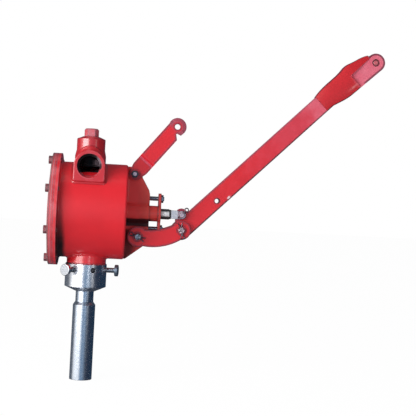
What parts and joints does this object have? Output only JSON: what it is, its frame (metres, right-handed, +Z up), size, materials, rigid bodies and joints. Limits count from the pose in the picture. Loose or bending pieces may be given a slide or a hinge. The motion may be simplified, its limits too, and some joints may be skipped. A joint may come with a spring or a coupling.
{
  "type": "double diaphragm hand lever pump",
  "caption": "Hand lever pump with a round horizontal diaphragm housing, outlet port, packed rod, swinging link linkage and latch arm, clamped on the end of a suction pipe.",
  "frame": {"origin": "centre of the suction pipe's cut lower end", "axes": "+Z up along the pipe, +X along the pump's axis towards the lever, -Y the side of the outlet port"},
  "size_m": [0.635, 0.211, 0.6535],
  "materials": {
    "red_paint": "glossy enamel on cast and rolled metal",
    "red_grip": "glossy enamel",
    "galvanised_pipe": "galvanised",
    "galvanised_casting": "galvanised casting",
    "zinc_fastener": "zinc plated",
    "polished_rod": "polished",
    "black_rubber": "moulded"
  },
  "bodies": {
    "pump": {"suction_pipe": "galvanised_pipe", "pipe_collar": "galvanised_casting", "hand_screw_front": "zinc_fastener", "hand_screw_right": "zinc_fastener", "hand_screw_rear": "zinc_fastener", "pump_barrel": "red_paint", "body_flange": "red_paint", "inlet_spigot": "red_paint", "diaphragm_rim": "black_rubber", "diaphragm_cover": "red_paint", "cover_bolts": "red_paint", "outlet_chest": "red_paint", "outlet_port": "red_paint", "top_plug": "red_paint", "end_bracket": "red_paint", "gland_follower": "red_paint", "gland_studs": "zinc_fastener", "gland_nuts": "zinc_fastener", "latch_washer": "red_paint", "latch_bolt": "zinc_fastener", "latch_nut": "zinc_fastener"},
    "rod": {"piston_rod": "polished_rod", "rod_lock_ring": "black_rubber", "rod_fork": "zinc_fastener", "fork_pin": "zinc_fastener", "fork_pin_washer": "zinc_fastener"},
    "swing_link": {"swing_link_front": "red_paint", "swing_link_rear": "red_paint", "link_pin": "zinc_fastener", "link_pin_washer": "zinc_fastener", "fulcrum_pin": "zinc_fastener", "fulcrum_pin_washer": "zinc_fastener"},
    "lever": {"lever_bar": "red_paint", "lever_grip": "red_grip", "grip_rivet": "zinc_fastener"},
    "latch": {"latch_arm": "red_paint"}
  },
  "joints": [
    {"name": "link_swing", "type": "hinge", "parent": "pump", "child": "swing_link", "pos_m": [0.094, 0, 0.275], "axis": [0, -1, 0], "range_deg": [-0.6, 0.8]},
    {"name": "lever_turn", "type": "hinge", "parent": "swing_link", "child": "lever", "pos_m": [0.176, 0, 0.291], "axis": [0, -1, 0], "range_deg": [-18, 25]},
    {"name": "rod_slide", "type": "slide", "parent": "pump", "child": "rod", "axis": [-1, 0, 0], "range_m": [-0.01, 0.014]},
    {"name": "latch_turn", "type": "hinge", "parent": "pump", "child": "latch", "pos_m": [0.083, 0, 0.393], "axis": [0, -1, 0], "range_deg": [-58, 0]}
  ],
  "couplings": [
    {"joint": "link_swing", "follows": "lever_turn", "ratio": 0.02},
    {"joint": "rod_slide", "follows": "lever_turn", "m_per_rad": 0.0305}
  ]
}
